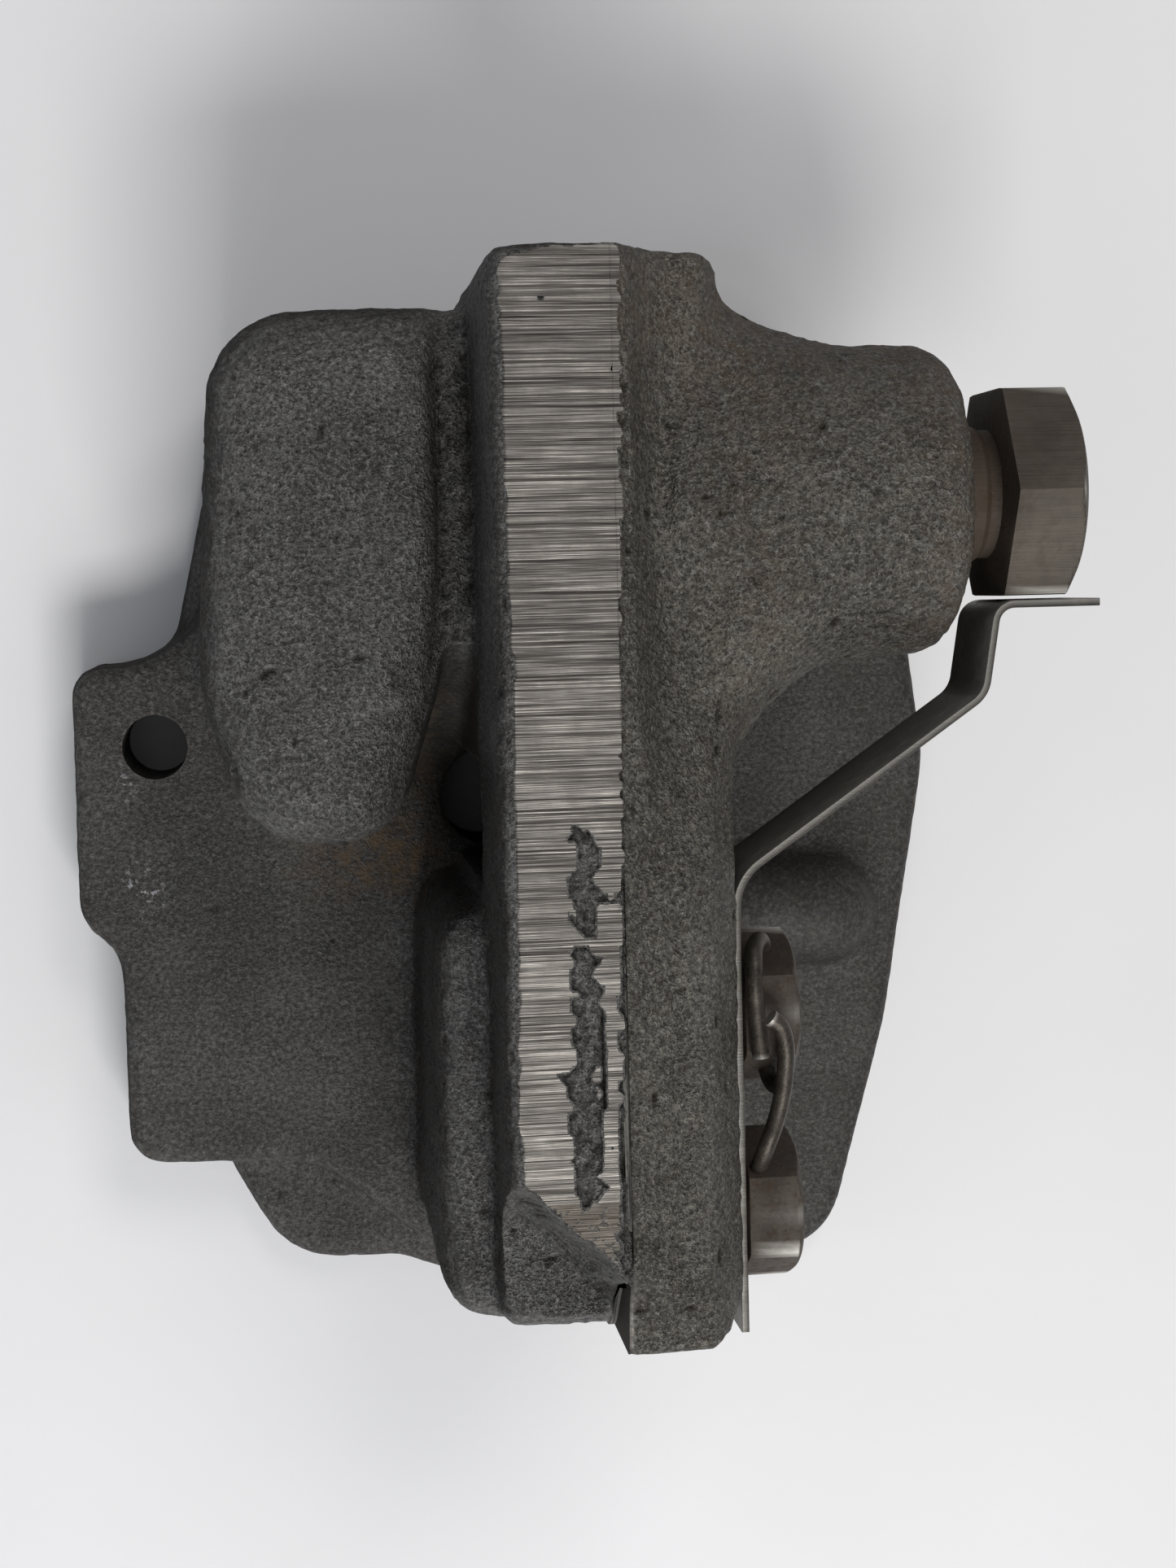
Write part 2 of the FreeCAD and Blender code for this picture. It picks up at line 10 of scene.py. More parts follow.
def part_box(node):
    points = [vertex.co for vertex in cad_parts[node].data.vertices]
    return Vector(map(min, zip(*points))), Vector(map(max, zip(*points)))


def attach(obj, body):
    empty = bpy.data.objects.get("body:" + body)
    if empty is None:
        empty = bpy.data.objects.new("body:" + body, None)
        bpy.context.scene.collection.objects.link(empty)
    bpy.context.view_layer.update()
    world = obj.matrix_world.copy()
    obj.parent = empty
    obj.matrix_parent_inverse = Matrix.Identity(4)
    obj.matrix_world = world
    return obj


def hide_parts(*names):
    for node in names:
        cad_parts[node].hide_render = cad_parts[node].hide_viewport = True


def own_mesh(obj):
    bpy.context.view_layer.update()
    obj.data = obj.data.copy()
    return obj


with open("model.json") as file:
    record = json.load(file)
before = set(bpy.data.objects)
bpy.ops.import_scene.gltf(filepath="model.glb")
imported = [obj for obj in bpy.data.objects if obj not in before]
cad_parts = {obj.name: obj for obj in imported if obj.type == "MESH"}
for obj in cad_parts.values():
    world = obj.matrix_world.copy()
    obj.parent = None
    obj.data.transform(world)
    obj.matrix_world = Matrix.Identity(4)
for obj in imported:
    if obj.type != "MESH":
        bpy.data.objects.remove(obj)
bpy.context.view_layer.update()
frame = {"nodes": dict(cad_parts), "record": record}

MM = 0.001
nodes = frame["nodes"]
scene = bpy.context.scene

# Places that the looks share with the frame, in millimetres -----------------------------------

JOINT = 0.0
GASKET = 0.5
GROUND_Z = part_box("body_casting")[1].z / MM
FOOT_TOP = 7.0
LUG_TOP = 14.0
LUG_HOLE = Vector((-41.6, 6.6))
LUG_HOLE_R = 3.4
STUD_HOLE = Vector((-6.5, 0.3))
STUD_HOLE_R = 5.2
RELIEF_Y = 30.0
RELIEF_Z = 50.0
COVER_FACE = 12.0
LOW_SHOULDER_Y = -3.0
ROOM_Y_MAX = 45.2
VOXEL = 0.5

# Turned and bent parts, in millimetres

ADJUSTING_TIP, ADJUSTING_SEAT, ADJUSTING_END = 13.1, 38.0, 45.0
ADJUSTING_R = 6.3
ADJUSTING_FLATS = 19.05
CAP_HEAD = 5.3
CAP_R = 3.95
CAP_FLATS = 12.7
STRAP_THICK = 0.9
WIRE_R = 0.8


# Arrays ---------------------------------------------------------------------------------------

def lattice(points, cell, seed):
    """Smooth random values from -1 to 1; a lattice cell is this many millimetres."""
    table = np.random.default_rng(seed).uniform(-1.0, 1.0, 8192)
    scaled = points / cell + 1000.0
    low = np.floor(scaled).astype(np.int64)
    part = scaled - low
    part = part * part * (3.0 - 2.0 * part)
    total = np.zeros(len(points))
    for corner in range(8):
        step = np.array([corner & 1, corner >> 1 & 1, corner >> 2 & 1])
        at = low + step
        key = (at[:, 0] * 73856093 ^ at[:, 1] * 19349663 ^ at[:, 2] * 83492791) & 8191
        total += table[key] * np.prod(np.where(step, part, 1.0 - part), axis=1)
    return total


def ramp(value, start, end):
    """0 before start, 1 after end, smooth between; start may be the larger."""
    t = np.clip((value - start) / (end - start), 0.0, 1.0)
    return t * t * (3.0 - 2.0 * t)


def bell(value, centre, width):
    return np.exp(-((value - centre) / width) ** 2)


def get_points(mesh):
    flat = np.empty(len(mesh.vertices) * 3, np.float32)
    mesh.vertices.foreach_get("co", flat)
    return flat.reshape(-1, 3).astype(float) / MM


def set_points(mesh, points):
    mesh.vertices.foreach_set("co", (points * MM).astype(np.float32).ravel())
    mesh.update()


def get_normals(mesh):
    flat = np.empty(len(mesh.vertices) * 3, np.float32)
    mesh.vertex_normals.foreach_get("vector", flat)
    return flat.reshape(-1, 3).astype(float)


def get_edges(mesh):
    flat = np.empty(len(mesh.edges) * 2, np.int32)
    mesh.edges.foreach_get("vertices", flat)
    return flat.reshape(-1, 2)


def neighbour_mean(values, edges, degree):
    total = np.empty_like(values)
    for k in range(values.shape[1]):
        column = values[:, k]
        total[:, k] = np.bincount(edges[:, 0], column[edges[:, 1]], len(values))
        total[:, k] += np.bincount(edges[:, 1], column[edges[:, 0]], len(values))
    return total / degree[:, None]


def relax(mesh, rounds, concave, convex):
    """Round a mesh: each vertex moves towards its neighbours by its weight, hollow or crest."""
    edges = get_edges(mesh)
    points = get_points(mesh)
    degree = np.maximum(np.bincount(edges.ravel(), minlength=len(points)), 1)
    for turn in range(rounds):
        if turn % 6 == 0:
            set_points(mesh, points)
            normals = get_normals(mesh)
        pull = neighbour_mean(points, edges, degree) - points
        outward = np.einsum("ij,ij->i", pull, normals)
        weight = np.where(outward > 0, concave, convex)
        points = points + pull * weight[:, None]
    set_points(mesh, points)


def paint(mesh, name, values):
    """Store one number per vertex for the materials to read."""
    layer = mesh.attributes.new(name, "FLOAT", "POINT")
    layer.data.foreach_set("value", np.clip(values, 0.0, 1.0).astype(np.float32))


# Mesh building --------------------------------------------------------------------------------

def add_object(name, mesh, body, replaced=()):
    obj = bpy.data.objects.new(name, mesh)
    scene.collection.objects.link(obj)
    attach(obj, body)
    if replaced:
        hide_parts(*replaced)
    return obj


def mesh_from(name, points, faces, smooth_angle=None):
    mesh = bpy.data.meshes.new(name)
    mesh.from_pydata([tuple(np.array(p, float) * MM) for p in points], [], faces)
    mesh.update()
    shade(mesh, smooth_angle)
    return mesh


def shade(mesh, angle=None):
    mesh.shade_smooth()
    if angle is not None:
        mesh.set_sharp_from_angle(angle=math.radians(angle))


def voxel_copy(node, name, voxel, shift, joined=()):
    """A copy of a CAD node's solid in even small faces, after shift has moved its vertices."""
    mesh = nodes[node].data.copy()
    set_points(mesh, shift(get_points(mesh)))
    if joined:
        work = bmesh.new()
        work.from_mesh(mesh)
        for other in joined:
            extra = nodes[other].data.copy()
            set_points(extra, overlap(get_points(extra)))
            work.from_mesh(extra)
            bpy.data.meshes.remove(extra)
        work.to_mesh(mesh)
        work.free()
    obj = bpy.data.objects.new(name + "_work", mesh)
    scene.collection.objects.link(obj)
    change = obj.modifiers.new("voxels", "REMESH")
    change.mode = "VOXEL"
    change.voxel_size = voxel * MM
    graph = bpy.context.evaluated_depsgraph_get()
    made = bpy.data.meshes.new_from_object(obj.evaluated_get(graph))
    made.name = name
    made.materials.clear()
    bpy.data.objects.remove(obj)
    return made


def overlap(points):
    """Sink the spring housing's root into the cover, so that the two become one skin."""
    p = points.copy()
    root = p[:, 0] < COVER_FACE + 0.05
    p[root, 0] -= 1.2
    return p


def cut_flat(mesh, point, normal, where=None):
    """Machine a flat: split the faces along a plane and press what stands beyond it onto it."""
    work = bmesh.new()
    work.from_mesh(mesh)
    plane_point = Vector(point) * MM
    plane_normal = Vector(normal).normalized()
    geometry = work.verts[:] + work.edges[:] + work.faces[:]
    if where is not None:
        chosen = [f for f in work.faces if where(f.calc_center_median() / MM)]
        corners = list({v for f in chosen for v in f.verts})
        borders = list({e for f in chosen for e in f.edges})
        geometry = corners + borders + chosen
    bmesh.ops.bisect_plane(
        work, geom=geometry, plane_co=plane_point, plane_no=plane_normal, dist=1e-7)
    for vert in work.verts:
        height = (vert.co - plane_point).dot(plane_normal)
        if height > 0 and (where is None or where(vert.co / MM)):
            vert.co -= plane_normal * height
    work.to_mesh(mesh)
    work.free()
    mesh.update()


# Materials ------------------------------------------------------------------------------------

class Nodes:
    """Short calls for building a material's nodes."""

    def __init__(self, name):
        self.material = bpy.data.materials.new(name)
        self.material.use_nodes = True
        self.tree = self.material.node_tree
        self.shader = self.tree.nodes["Principled BSDF"]
        self.where = self.make("ShaderNodeTexCoord").outputs["Object"]

    def make(self, kind, **settings):
        node = self.tree.nodes.new(kind)
        for key, value in settings.items():
            setattr(node, key, value)
        return node

    def link(self, source, target):
        if isinstance(source, bpy.types.NodeSocket):
            self.tree.links.new(source, target)
        else:
            target.default_value = source

    def place(self, scale=(1, 1, 1), turn=(0, 0, 0)):
        """Object coordinates in millimetres, turned and stretched."""
        node = self.make("ShaderNodeMapping")
        self.link(self.where, node.inputs["Vector"])
        node.inputs["Rotation"].default_value = [math.radians(a) for a in turn]
        node.inputs["Scale"].default_value = [s / MM for s in scale]
        return node.outputs["Vector"]

    def noise(self, cell, detail=3.0, rough=0.55, place=None, warp=0.0):
        node = self.make("ShaderNodeTexNoise")
        self.link(place or self.place(), node.inputs["Vector"])
        node.inputs["Scale"].default_value = 1.0 / cell
        node.inputs["Detail"].default_value = detail
        node.inputs["Roughness"].default_value = rough
        node.inputs["Distortion"].default_value = warp
        return node.outputs["Fac"]

    def curve(self, value, *stops):
        """A value through a ramp of (position, grey or colour) stops."""
        node = self.make("ShaderNodeValToRGB")
        ramp_ = node.color_ramp
        while len(ramp_.elements) < len(stops):
            ramp_.elements.new(0.5)
        for element, (position, shade_) in zip(ramp_.elements, stops):
            element.position = position
            colour = shade_ if isinstance(shade_, tuple) else (shade_,) * 3
            element.color = (*colour, 1.0)
        self.link(value, node.inputs["Fac"])
        return node.outputs["Color"]

    def math(self, operation, a, b=0.0, clamp=False):
        node = self.make("ShaderNodeMath", operation=operation, use_clamp=clamp)
        self.link(a, node.inputs[0])
        self.link(b, node.inputs[1])
        return node.outputs[0]

    def times(self, a, b):
        return self.math("MULTIPLY", a, b)

    def plus(self, a, b, clamp=False):
        return self.math("ADD", a, b, clamp)

    def minus(self, a, b, clamp=False):
        return self.math("SUBTRACT", a, b, clamp)

    def patches(self, cell, detail, rough, start, end):
        """A noise cut into patches: 0 where it is below start and 1 where it is above end."""
        return self.curve(self.noise(cell, detail, rough), (start, 0.0), (end, 1.0))

    def mix(self, factor, a, b, kind="MIX"):
        node = self.make("ShaderNodeMix", data_type="RGBA", blend_type=kind)
        self.link(factor, node.inputs["Factor"])
        for source, socket in ((a, node.inputs["A"]), (b, node.inputs["B"])):
            self.link((*source, 1.0) if isinstance(source, tuple) else source, socket)
        return node.outputs["Result"]

    def painted(self, name):
        return self.make("ShaderNodeAttribute", attribute_name=name).outputs["Fac"]

    def bump(self, height, distance, strength=1.0, below=None):
        node = self.make("ShaderNodeBump")
        self.link(height, node.inputs["Height"])
        node.inputs["Distance"].default_value = distance * MM
        self.link(strength, node.inputs["Strength"])
        if below is not None:
            self.link(below, node.inputs["Normal"])
        return node.outputs["Normal"]

    def finish(self, colour, rough, metal, normal=None):
        base = (*colour, 1.0) if isinstance(colour, tuple) else colour
        self.link(base, self.shader.inputs["Base Color"])
        self.link(rough, self.shader.inputs["Roughness"])
        self.link(metal, self.shader.inputs["Metallic"])
        if normal is not None:
            self.link(normal, self.shader.inputs["Normal"])
        return self.material


def cast_iron(name, dark, pale):
    """Sand-cast iron with its grain, rust and rubbed edges, and bright where it was ground flat, with
    painted shade in its creases, holes, sides and low parts, and painted glints on its skin.
    """
    n = Nodes(name)
    grit_and_shade_paint = n.painted("grit_and_shade")
    grain = n.noise(0.5, 3.0, 0.65)
    sand = n.noise(0.26, 2.0, 0.6)
    broad = n.noise(9.0, 4.0, 0.6)
    tone = n.plus(n.times(grain, 0.55), n.times(sand, 0.25))
    tone = n.plus(tone, n.times(broad, 0.2))
    skin = n.mix(n.curve(tone, (0.43, 0.0), (0.52, 0.36), (0.63, 1.0)), dark, pale)
    # Painted shade: where the grit is low, on the foot, in the hidden rooms and on the joint faces, the
    # skin is mixed towards a flat dark colour, so it is darker low down and inside.
    smooth = n.minus(0.5, n.times(grit_and_shade_paint, 0.5))
    skin = n.mix(smooth, skin, (0.03, 0.029, 0.028))
    # Painted shade: where the painted shade attribute is high the colour is mixed towards near black, and
    # the roughness rises while the metal and specular level drop.
    painted_shade = n.painted("painted_shade")
    skin = n.mix(n.times(painted_shade, 0.75), skin, (0.006, 0.0055, 0.005))
    rust = n.times(n.painted("rust"), n.patches(1.6, 4.0, 0.7, 0.36, 0.60))
    skin = n.mix(rust, skin, (0.105, 0.070, 0.040))
    speck = n.times(n.painted("speck"), n.patches(0.75, 3.0, 0.7, 0.58, 0.66))
    skin = n.mix(speck, skin, (0.34, 0.34, 0.36))
    # Painted glints: small pale spots mixed into the colour as highlights, more where the grit is high
    # and none in the painted shade; the same noise also lowers the roughness.
    glint = n.patches(0.36, 2.0, 0.6, 0.57, 0.66)
    glint = n.times(glint, n.minus(1.0, painted_shade))
    painted_glint = n.times(n.times(glint, grit_and_shade_paint), 0.5)
    skin = n.mix(painted_glint, skin, (0.26, 0.255, 0.245))
    rubbed = n.times(n.painted("wear"), n.patches(0.7, 3.0, 0.6, 0.45, 0.62))
    skin = n.mix(n.times(rubbed, 0.7), skin, (0.16, 0.155, 0.145))

    lines = n.noise(1.0, 3.0, 0.7, n.place((0.03, 3.6, 0.5), (0, 0, -2.0)))
    fine = n.noise(1.0, 2.0, 0.6, n.place((0.06, 8.5, 0.8), (0, 0, -2.0)))
    blotch = n.noise(3.0, 4.0, 0.6)
    streak = n.plus(n.times(lines, 0.55), n.times(fine, 0.45))
    streaked = n.curve(streak, (0.42, 0.0), (0.62, 1.0))
    metal = n.mix(streaked, (0.022, 0.020, 0.018), (0.29, 0.272, 0.25))
    metal = n.mix(n.curve(blotch, (0.4, 0.45), (0.65, 0.0)), metal, (0.055, 0.05, 0.045))
    metal = n.mix(n.times(n.painted("dull"), 0.8), metal, (0.048, 0.040, 0.032))
    fray = n.times(n.minus(n.noise(0.8, 3.0, 0.6), 0.5), 0.6)
    ground = n.curve(n.plus(n.painted("ground"), fray), (0.44, 0.0), (0.56, 1.0))
    colour = n.mix(ground, skin, metal)

    cast = n.minus(1.0, ground)
    rough = n.minus(0.47, n.times(n.times(glint, cast), 0.15))
    rough = n.plus(rough, n.times(rust, 0.25))
    rough = n.plus(rough, n.times(painted_shade, 0.3))
    rough = n.minus(rough, n.times(ground, 0.10), True)
    metallic = n.plus(0.42, n.times(ground, 0.43), True)
    metallic = n.minus(metallic, n.times(rust, 0.3), True)
    metallic = n.minus(metallic, n.times(painted_shade, 0.25), True)
    level = n.minus(0.5, n.times(painted_shade, 0.42))
    n.link(level, n.shader.inputs["Specular IOR Level"])
    as_cast = n.times(cast, grit_and_shade_paint)
    normal = n.bump(grain, 0.7, as_cast)
    normal = n.bump(sand, 0.35, as_cast, normal)
    normal = n.bump(streak, 0.12, ground, normal)
    return n.finish(colour, rough, metallic, normal)


def plain_metal(name, dark, pale, rough, metal, cell=1.2, line_turn=None, rust_amount=0.0):
    """Machined or drawn steel and brass: tone in patches, fine lines, rust spots and rubbed places."""
    n = Nodes(name)
    patches = n.noise(cell * 3.0, 4.0, 0.6)
    if line_turn is None:
        place = n.place((4.0, 4.0, 4.0))
    else:
        place = n.place((0.15, 5.0, 5.0), line_turn)
    lines = n.noise(1.0, 3.0, 0.6, place)
    tone = n.plus(n.times(patches, 0.65), n.times(lines, 0.35))
    skin = n.mix(n.curve(tone, (0.34, 0.0), (0.66, 1.0)), dark, pale)
    spots = n.curve(n.noise(cell, 5.0, 0.65), (0.5, 0.0), (0.62, 1.0))
    rust = n.times(spots, rust_amount)
    rust = n.plus(rust, n.times(n.painted("rust"), 0.8), True)
    worn = n.painted("wear")
    colour = n.mix(rust, skin, (0.046, 0.027, 0.015))
    colour = n.mix(worn, colour, (0.62, 0.60, 0.56))
    roughness = n.plus(rough, n.times(rust, 0.35), clamp=True)
    metallic = n.minus(metal, n.times(rust, metal * 0.8), clamp=True)
    normal = n.bump(lines, 0.03)
    normal = n.bump(spots, 0.05, rust, normal)
    return n.finish(colour, roughness, metallic, normal)


def gasket_sheet():
    """Compressed fibre in thin layers that show at its edge."""
    n = Nodes("gasket_sheet")
    layers = n.noise(1.0, 1.0, 0.5, n.place((9.0, 0.15, 0.15)))
    fibre = n.noise(0.4, 4.0, 0.7)
    tone = n.plus(n.times(layers, 0.7), n.times(fibre, 0.3))
    striped = n.curve(tone, (0.4, 0.0), (0.6, 1.0))
    colour = n.mix(striped, (0.018, 0.017, 0.015), (0.16, 0.15, 0.135))
    rough = n.plus(0.6, n.times(fibre, 0.2))
    return n.finish(colour, rough, 0.2, n.bump(layers, 0.08))


def rubber(name):
    n = Nodes(name)
    marks = n.noise(0.8, 4.0, 0.6)
    colour = n.mix(marks, (0.008, 0.008, 0.008), (0.03, 0.029, 0.028))
    rough = n.plus(0.5, n.times(marks, 0.25))
    return n.finish(colour, rough, 0.0, n.bump(marks, 0.03))


def floor_paint():
    n = Nodes("floor_paint")
    patches = n.noise(45.0, 3.0, 0.5)
    colour = n.mix(patches, (0.74, 0.735, 0.74), (0.80, 0.80, 0.815))
    return n.finish(colour, 0.55, 0.0, n.bump(n.noise(2.0, 2.0, 0.5), 0.02))


# Castings -------------------------------------------------------------------------------------

def wall_end(x):
    """Where, along Y, the upright wall's ground face ends on the body's side."""
    return -30.0 - 0.95 * np.clip(x + 8.5, 0.0, 9.0)


def ground_edge(p):
    """Where, along X, the ground strip ends on the cover's side; it crosses the joint on its way down."""
    flat = p * np.array([1.0, 1.0, 0.0])
    ragged = 0.26 * lattice(flat, 1.1, 25) + 0.14 * lattice(flat, 0.6, 28)
    return 1.29 - 0.0245 * (45.0 - p[:, 1]) + ragged


def slope_beyond(p):
    """How high the cast shoulder stands beyond the ground strip."""
    x = p[:, 0]
    return GROUND_Z - 0.12 - 0.5 * (x - ground_edge(p)) + 2.0 * ramp(x, 5.0, 9.0)


def shrink_hole(p, centre, radius):
    """Leave metal inside a hole, to be drilled out again once the skin is rough."""
    away = np.hypot(p[:, 0] - centre.x, p[:, 1] - centre.y)
    wall = (np.abs(away - radius) < 0.1) & (p[:, 2] < LUG_TOP + 0.1)
    scale = (radius - 1.3) / away[wall]
    p[wall, 0] = centre.x + (p[wall, 0] - centre.x) * scale
    p[wall, 1] = centre.y + (p[wall, 1] - centre.y) * scale


def body_shift(points):
    """Grow the body past the faces that are ground, machined or drilled afterwards."""
    p = points.copy()
    x, y, z = points.T
    at_joint = (np.abs(x - JOINT) < 1e-3) & (z > FOOT_TOP + 0.2)
    p[at_joint, 0] += 1.6
    p[:, 2] += np.where(z > GROUND_Z - 3.0, 0.25 + 1.3 * ramp(x, -6.0, -0.5), 0.0)
    end = (y < -29.0) & (z > GROUND_Z - 6.0)
    p[end, 1] -= 3.6 * ramp(x[end], -7.0, 0.0)
    shrink_hole(p, LUG_HOLE, LUG_HOLE_R)
    shrink_hole(p, STUD_HOLE, STUD_HOLE_R)
    return p


def body_mesh():
    mesh = voxel_copy("body_casting", "body_casting_iron", VOXEL, body_shift)
    p = get_points(mesh)
    x, y, z = p.T
    inside = (y > 3.0) & (y < ROOM_Y_MAX) & (x > -32.5) & (x < -8.0) & (z > 7.5) & (z < 46.3)
    inside = inside | ((x > -11.5) & (y > -34.0) & (y < 40.0) & (z > 7.5) & (z < 46.3))
    free = ramp(z, 0.3, 1.5) * np.where(inside & (z > LUG_TOP + 1.0), 0.2, 1.0)
    free = free * np.where((x > -0.3) & (z > FOOT_TOP + 1.0), 0.3, 1.0)
    step = (x > -15.5) & (x < -8.0) & (y > 21.0) & (z > 40.0)
    wall = (z > 60) | (np.abs(x + 9.5) < 2.0) & (z > 45)
    hollow = free * np.where(step, 0.12, 1.0) * np.where(wall, 0.4, 1.0)
    web = bell(x, -12.5, 4.0) * bell(y, 12.0, 7.0) * ramp(z, 14.0, 18.0)
    corner = bell(x, -11.0, 3.0) * ramp(y, 43.0, 46.0)
    relax(mesh, 45, hollow * (0.9 - 0.75 * corner), free * (0.07 + 0.6 * web))
    carve_step(mesh)
    slope_wall_end(mesh)
    relax(mesh, 5, free * 0.4, free * 0.3)
    scar_ground(mesh)
    roughen(mesh, body_grit)
    cut_flat(mesh, (0, 0, GROUND_Z), (0, 0, 1), lambda c: c.z > GROUND_Z - 2.0)
    cut_flat(mesh, (0.53, 0, 0), (1, 0, 0), lambda c: near_joint(c) and c.z > GROUND_Z - 1.2)
    cut_flat(mesh, (JOINT, 0, 0), (1, 0, 0),
             lambda c: near_joint(c) and FOOT_TOP + 1.2 < c.z < GROUND_Z - 1.1)
    cut_flat(mesh, (0, 0, 0), (0, 0, -1), lambda c: c.z < 2.0)
    return mesh


def near_joint(c):
    return -1.5 < c.x < 3.0


def carve_step(mesh):
    """A narrow valley between the dome's crown and the step beside it, and one beside the wall."""
    p = get_points(mesh)
    x, y, z = p.T
    along = ramp(y, 12.0, 20.0) * ramp(y, 45.5, 43.0) * ramp(z, 46.5, 47.5)
    p[:, 2] -= along * (1.3 * bell(x, -13.3, 0.9) + 0.9 * bell(x, -10.4, 0.8))
    set_points(mesh, p)


def slope_wall_end(mesh):
    """The far end of the wall falls away to the column, first on the left and last at the joint."""
    p = get_points(mesh)
    x, y, z = p.T
    edge = wall_end(x) + 0.5 * lattice(p, 2.0, 26)
    t = np.clip((edge - y) / 6.0, 0.0, 1.0)
    height = GROUND_Z + 0.25 - 11.6 * (1.0 - (1.0 - t) ** 2.0)
    over = (x > -10.8) & (x < 2.0) & (y < edge) & (z > height)
    p[over, 2] = height[over]
    set_points(mesh, p)


def scar_ground(mesh):
    """What the grinding didn't reach: a seam of pits low on the wall, and the cover's side."""
    p = get_points(mesh)
    x, y, z = p.T
    top = z > GROUND_Z - 2.5
    line = -3.1 - 0.25 * ramp(y, -22.0, 2.0) + 0.45 * lattice(p, 3.0, 23)
    length = ramp(y, 3.5, 0.0) * ramp(y, -33.0, -30.0)
    seam = bell(x, line, 1.8) * length + 0.45 * lattice(p, 0.9, 21) + 0.3 * lattice(p, 2.2, 22)
    crack = bell(x, -1.75, 0.35) * ramp(y, -13.0, -15.0) * ramp(y, -24.0, -22.0)
    lumps = 0.22 * np.abs(lattice(p, 0.8, 29))
    floor = GROUND_Z - 0.05 - 0.3 * np.clip(seam - 0.55, 0.0, 1.0) - lumps - 0.5 * crack
    pitted = top & ((seam > 0.55) | (crack > 0.5))
    p[pitted, 2] = np.minimum(z, floor)[pitted]
    beyond = top & (x > ground_edge(p))
    p[beyond, 2] = np.minimum(z, slope_beyond(p))[beyond]
    set_points(mesh, p)


def body_grit(p):
    """How rough the sand cast skin is: least on the foot and in the hidden rooms; the same numbers also
    set painted shade there, darker lower down and inside.
    """
    x, y, z = p.T
    grit_and_shade = 0.45 + 0.55 * ramp(z, LUG_TOP + 1, LUG_TOP + 14)
    grit_and_shade = np.where((x > 0.6) & (z < 16), 0.25, grit_and_shade)
    grit_and_shade = grit_and_shade * ramp(z, 0.2, 1.0)
    grit_and_shade = np.where((x > -33) & (y > 3) & (y < 45) & (z > 7.5) & (z < 46.3), 0.1, grit_and_shade)
    return np.where((x > -0.6) & (z > FOOT_TOP + 1) & (z < GROUND_Z - 3), 0.02, grit_and_shade)


def roughen(mesh, grit_of):
    """Sand cast relief: long waves, lumps and grains, pushed along the surface's normals."""
    p = get_points(mesh)
    relief = 0.12 * lattice(p, 8.0, 11) + 0.06 * lattice(p, 2.6, 12)
    relief += 0.08 * lattice(p, 1.25, 13) + 0.11 * lattice(p, 0.75, 14)
    relief -= 0.35 * ramp(lattice(p, 1.5, 15), 0.72, 0.9)
    p += get_normals(mesh) * (relief * grit_of(p))[:, None]
    set_points(mesh, p)


def cover_shift(points):
    """Grow the cover past its joint and ground crest, and draw its shoulder's step out to a slope."""
    p = points.copy()
    x, y, z = points.T
    p[np.abs(x - GASKET) < 1e-3, 0] -= 1.6
    crest = (z > GROUND_Z - 1.0) & (x < 3.0)
    p[crest, 2] += 0.5
    shoulder = np.where(x < 8.5, 68.0 - 0.556 * (x - 1.3), 64.0 - 1.57 * (x - 8.5))
    at_step = np.abs(y - LOW_SHOULDER_Y) < 0.02
    foot_of_step = at_step & (z < shoulder - 0.15) & (z > 54.0) & (x > 0.6)
    p[foot_of_step, 1] += 13.0
    return p


def cover_mesh():
    """The cover and its spring housing are one casting, so their pieces are joined here."""
    mesh = voxel_copy("cover_casting", "cover_casting_iron", VOXEL, cover_shift, ["spring_housing"])
    p = get_points(mesh)
    x, y, z = p.T
    inner = (x < 9.2) & (y > -34) & (y < 39.4) & (z > 9) & (z < 43.5)
    bore = np.hypot(y - RELIEF_Y, z - RELIEF_Z) < 9.0
    free = np.where(inner | bore, 0.05, 1.0) * np.where(x < 0.5, 0.3, 1.0)
    relax(mesh, 55, free * 0.9, free * 0.06)
    p = get_points(mesh)
    beyond = (p[:, 2] > GROUND_Z - 6.0) & (p[:, 0] > ground_edge(p)) & (p[:, 0] < 9.0)
    p[beyond, 2] = np.minimum(p[:, 2], slope_beyond(p))[beyond]
    set_points(mesh, p)
    roughen(mesh, cover_grit)
    cut_flat(mesh, (0, 0, GROUND_Z), (0, 0, 1), lambda c: c.z > GROUND_Z - 2.0)
    cut_flat(mesh, (GASKET, 0, 0), (-1, 0, 0), lambda c: c.x < 2.0)
    return mesh


# These numbers also set painted shade: the cover's lower and hidden parts come out darker.
def cover_grit(p):
    x, y, z = p.T
    grit_and_shade = 0.6 + 0.4 * ramp(z, 20, 40)
    grit_and_shade = np.where((x < 9.2) & (y > -34) & (y < 39.4) & (z > 9) & (z < 43.5), 0.1, grit_and_shade)
    grit_and_shade = np.where(np.hypot(y - RELIEF_Y, z - RELIEF_Z) < 9.0, 0.1, grit_and_shade)
    return np.where((x < 0.9) & (z < GROUND_Z - 1.0), 0.02, grit_and_shade)


